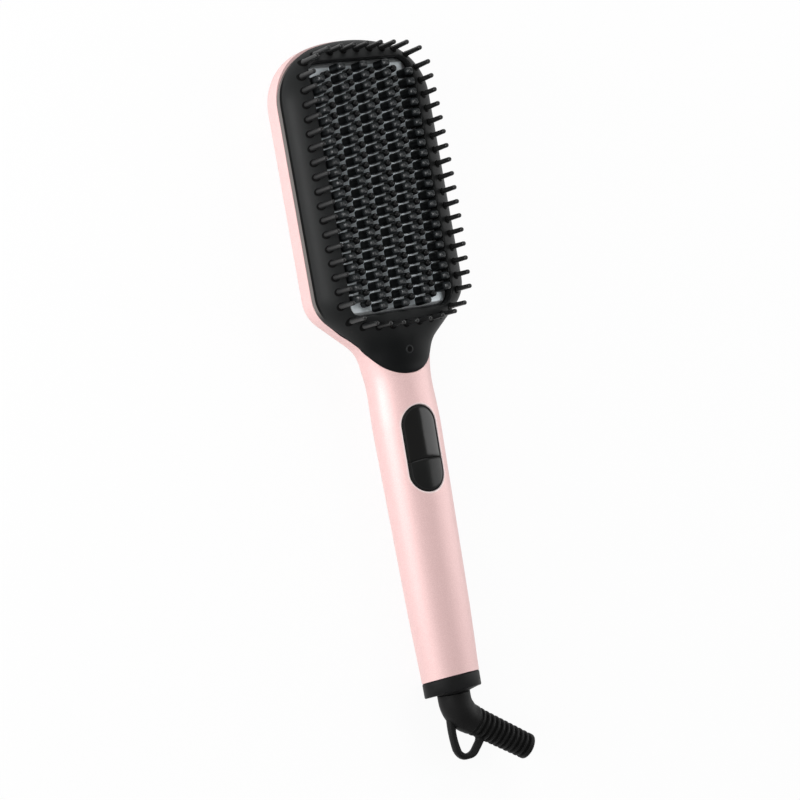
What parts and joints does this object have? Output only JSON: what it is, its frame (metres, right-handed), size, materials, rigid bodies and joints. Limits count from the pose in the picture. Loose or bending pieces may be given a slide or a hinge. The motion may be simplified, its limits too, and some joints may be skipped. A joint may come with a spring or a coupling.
{
  "type": "hot comb",
  "caption": "Heated hair straightening brush: oblong head with toothed hot plate and guard pins, oval handle with display and power button, swivel cord outlet with hanging loop.",
  "frame": {"origin": "on the flat back of the head, on the centre line, about the middle of the guard pin rows", "axes": "+X across the head, +Y towards the tip of the head along the handle axis, +Z from the back towards the tips of the teeth"},
  "size_m": [0.0752, 0.328, 0.0382],
  "materials": {
    "black_matte": "matte",
    "black_nylon": "semi-matte",
    "black_rubber": "matte",
    "board_green": "solder resist",
    "button_gloss": "gloss",
    "capacitor_box": "gloss",
    "contact_brass": "bright",
    "frame_plastic": "matte",
    "fuse_metal": "gloss",
    "glass_bead": "gloss",
    "heater_ceramic": "matte ceramic",
    "lens_gloss": "gloss",
    "mica": "pearly",
    "module_plastic": "matte",
    "pink_shell": "satin metallic paint on plastic",
    "plate_coating": "glossy ceramic coating",
    "screw_steel": "zinc plated",
    "sheet_steel": "brushed",
    "tip_grey": "satin"
  },
  "bodies": {
    "body": {"body_shell": "pink_shell", "button_frame": "black_matte", "ceramic_heaters": "heater_ceramic", "clamp_screws": "screw_steel", "contact_block": "frame_plastic", "contact_leaves": "contact_brass", "cover_screw": "screw_steel", "display_lens": "lens_gloss", "display_module": "module_plastic", "end_cap": "black_matte", "film_capacitor": "capacitor_box", "front_cover": "black_matte", "guard_pins_heel": "black_nylon", "guard_pins_left": "black_nylon", "guard_pins_right": "black_nylon", "guard_pins_tip": "black_nylon", "heater_clamp": "sheet_steel", "heating_plate": "plate_coating", "main_pcb": "board_green", "mica_sheet": "mica", "nylon_teeth": "black_nylon", "pcb_screws": "screw_steel", "plate_frame": "frame_plastic", "tact_switch": "module_plastic", "thermal_fuse": "fuse_metal", "thermistor": "glass_bead", "tooth_tips": "tip_grey", "triac": "black_nylon"},
    "power_button": {"power_button": "button_gloss", "switch_plunger": "module_plastic"},
    "cord_swivel": {"swivel_journal": "black_nylon", "cord_boot": "black_rubber", "swivel_clip": "sheet_steel", "slip_rings": "contact_brass"}
  },
  "joints": [
    {"name": "button_press", "type": "slide", "parent": "body", "child": "power_button", "axis": [0, 0, -1], "range_m": [0, 0.0006], "stiffness_N_per_m": 2500, "springref_m": -0.0003},
    {"name": "cord_turn", "type": "hinge", "parent": "body", "child": "cord_swivel", "pos_m": [0, -0.222, 0.0122], "axis": [0, -1, 0], "continuous": true}
  ]
}
